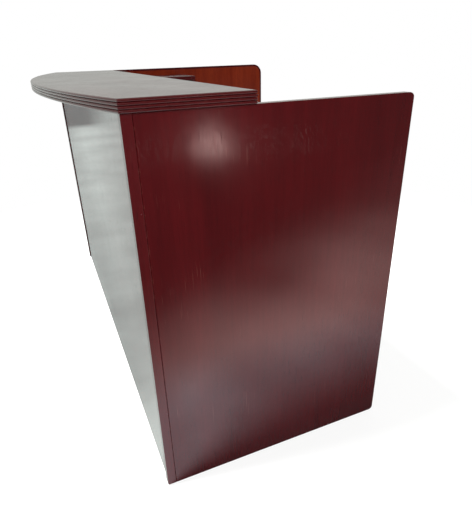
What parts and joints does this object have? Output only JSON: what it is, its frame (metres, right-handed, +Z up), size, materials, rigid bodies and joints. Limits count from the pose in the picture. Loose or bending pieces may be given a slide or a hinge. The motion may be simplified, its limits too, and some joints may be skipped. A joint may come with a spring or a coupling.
{
  "type": "reception desk",
  "caption": "L-shaped reception desk in mahogany veneer with a raised bow-fronted counter, reeded solid edges, a work surface with a short return, an organizer and drawer pedestals.",
  "frame": {"origin": "on the floor, under the middle of the desk's outline", "axes": "+X towards the visitor's right along the length, -Y towards the visitor, +Z up"},
  "size_m": [1.841, 1.34, 1.067],
  "materials": {
    "mahogany": "mahogany veneer and solid edges under satin lacquer",
    "mahogany_top": "mahogany veneer under gloss lacquer",
    "inner_veneer": "orange-brown mahogany veneer under satin lacquer",
    "drawer_wood": "clear-coated pale plywood",
    "zinc_steel": "bright zinc plate",
    "aged_brass": "aged brass",
    "black_plastic": "moulded black plastic"
  },
  "bodies": {
    "desk": {"bracket_screws": "zinc_steel", "corner_angles": "zinc_steel", "corner_posts": "mahogany", "counter_bow_edge": "mahogany", "counter_brackets": "zinc_steel", "counter_core": "mahogany_top", "counter_end_edges": "mahogany", "counter_rear_edge": "mahogany", "far_side_wall": "inner_veneer", "far_wall_lipping": "mahogany", "floor_glides": "black_plastic", "front_panel": "mahogany", "grommet_sleeves": "black_plastic", "near_case_slides": "zinc_steel", "near_end_panel": "mahogany", "near_pedestal_back": "inner_veneer", "near_pedestal_case": "mahogany", "organizer_back": "inner_veneer", "organizer_case": "mahogany", "organizer_dividers": "inner_veneer", "organizer_shelf": "inner_veneer", "return_case_slides": "zinc_steel", "return_end_panel": "mahogany", "return_pedestal_back": "inner_veneer", "return_pedestal_case": "mahogany", "return_surface": "mahogany_top", "return_surface_edge": "mahogany", "support_cleats": "drawer_wood", "surface_joint_plates": "zinc_steel", "work_surface": "mahogany_top", "work_surface_edge": "mahogany"},
    "near_upper_drawer": {"near_upper_drawer_front": "mahogany", "near_upper_drawer_box": "drawer_wood", "near_upper_drawer_pull": "aged_brass", "near_upper_drawer_slides": "zinc_steel"},
    "near_upper_mid_slides": {"near_upper_drawer_mid_slides": "zinc_steel"},
    "near_middle_drawer": {"near_middle_drawer_front": "mahogany", "near_middle_drawer_box": "drawer_wood", "near_middle_drawer_pull": "aged_brass", "near_middle_drawer_slides": "zinc_steel"},
    "near_middle_mid_slides": {"near_middle_drawer_mid_slides": "zinc_steel"},
    "near_file_drawer": {"near_file_drawer_front": "mahogany", "near_file_drawer_box": "drawer_wood", "near_file_drawer_pull": "aged_brass", "near_file_drawer_slides": "zinc_steel"},
    "near_file_mid_slides": {"near_file_drawer_mid_slides": "zinc_steel"},
    "return_upper_drawer": {"return_upper_drawer_front": "mahogany", "return_upper_drawer_box": "drawer_wood", "return_upper_drawer_pull": "aged_brass", "return_upper_drawer_slides": "zinc_steel"},
    "return_upper_mid_slides": {"return_upper_drawer_mid_slides": "zinc_steel"},
    "return_lower_drawer": {"return_lower_drawer_front": "mahogany", "return_lower_drawer_box": "drawer_wood", "return_lower_drawer_pull": "aged_brass", "return_lower_drawer_slides": "zinc_steel"},
    "return_lower_mid_slides": {"return_lower_drawer_mid_slides": "zinc_steel"},
    "near_lock": {"near_lock": "zinc_steel"},
    "return_lock": {"return_lock": "zinc_steel"},
    "near_grommet_cap": {"near_grommet_cap": "black_plastic"},
    "far_grommet_cap": {"far_grommet_cap": "black_plastic"}
  },
  "joints": [
    {"name": "near_upper_drawer_slide", "type": "slide", "parent": "desk", "child": "near_upper_drawer", "axis": [0, 1, 0], "range_m": [0, 0.47]},
    {"name": "near_upper_mid_slide", "type": "slide", "parent": "desk", "child": "near_upper_mid_slides", "axis": [0, 1, 0], "range_m": [0, 0.235]},
    {"name": "near_middle_drawer_slide", "type": "slide", "parent": "desk", "child": "near_middle_drawer", "axis": [0, 1, 0], "range_m": [0, 0.47]},
    {"name": "near_middle_mid_slide", "type": "slide", "parent": "desk", "child": "near_middle_mid_slides", "axis": [0, 1, 0], "range_m": [0, 0.235]},
    {"name": "near_file_drawer_slide", "type": "slide", "parent": "desk", "child": "near_file_drawer", "axis": [0, 1, 0], "range_m": [0, 0.47]},
    {"name": "near_file_mid_slide", "type": "slide", "parent": "desk", "child": "near_file_mid_slides", "axis": [0, 1, 0], "range_m": [0, 0.235]},
    {"name": "return_upper_drawer_slide", "type": "slide", "parent": "desk", "child": "return_upper_drawer", "axis": [1, 0, 0], "range_m": [0, 0.41]},
    {"name": "return_upper_mid_slide", "type": "slide", "parent": "desk", "child": "return_upper_mid_slides", "axis": [1, 0, 0], "range_m": [0, 0.205]},
    {"name": "return_lower_drawer_slide", "type": "slide", "parent": "desk", "child": "return_lower_drawer", "axis": [1, 0, 0], "range_m": [0, 0.41]},
    {"name": "return_lower_mid_slide", "type": "slide", "parent": "desk", "child": "return_lower_mid_slides", "axis": [1, 0, 0], "range_m": [0, 0.205]},
    {"name": "near_lock_turn", "type": "hinge", "parent": "near_upper_drawer", "child": "near_lock", "pos_m": [0.5355, 0.158, 0.679], "axis": [0, -1, 0], "range_deg": [0, 90]},
    {"name": "return_lock_turn", "type": "hinge", "parent": "return_upper_drawer", "child": "return_lock", "pos_m": [-0.418, 0.599, 0.679], "axis": [-1, 0, 0], "range_deg": [0, 90]},
    {"name": "near_grommet_cap_turn", "type": "hinge", "parent": "desk", "child": "near_grommet_cap", "pos_m": [0.3475, -0.41, 0.737], "axis": [0, 0, 1], "continuous": true},
    {"name": "far_grommet_cap_turn", "type": "hinge", "parent": "desk", "child": "far_grommet_cap", "pos_m": [-0.2525, -0.41, 0.737], "axis": [0, 0, 1], "continuous": true}
  ],
  "couplings": [
    {"joint": "near_upper_mid_slide", "follows": "near_upper_drawer_slide", "ratio": 0.5},
    {"joint": "near_middle_mid_slide", "follows": "near_middle_drawer_slide", "ratio": 0.5},
    {"joint": "near_file_mid_slide", "follows": "near_file_drawer_slide", "ratio": 0.5},
    {"joint": "return_upper_mid_slide", "follows": "return_upper_drawer_slide", "ratio": 0.5},
    {"joint": "return_lower_mid_slide", "follows": "return_lower_drawer_slide", "ratio": 0.5}
  ]
}
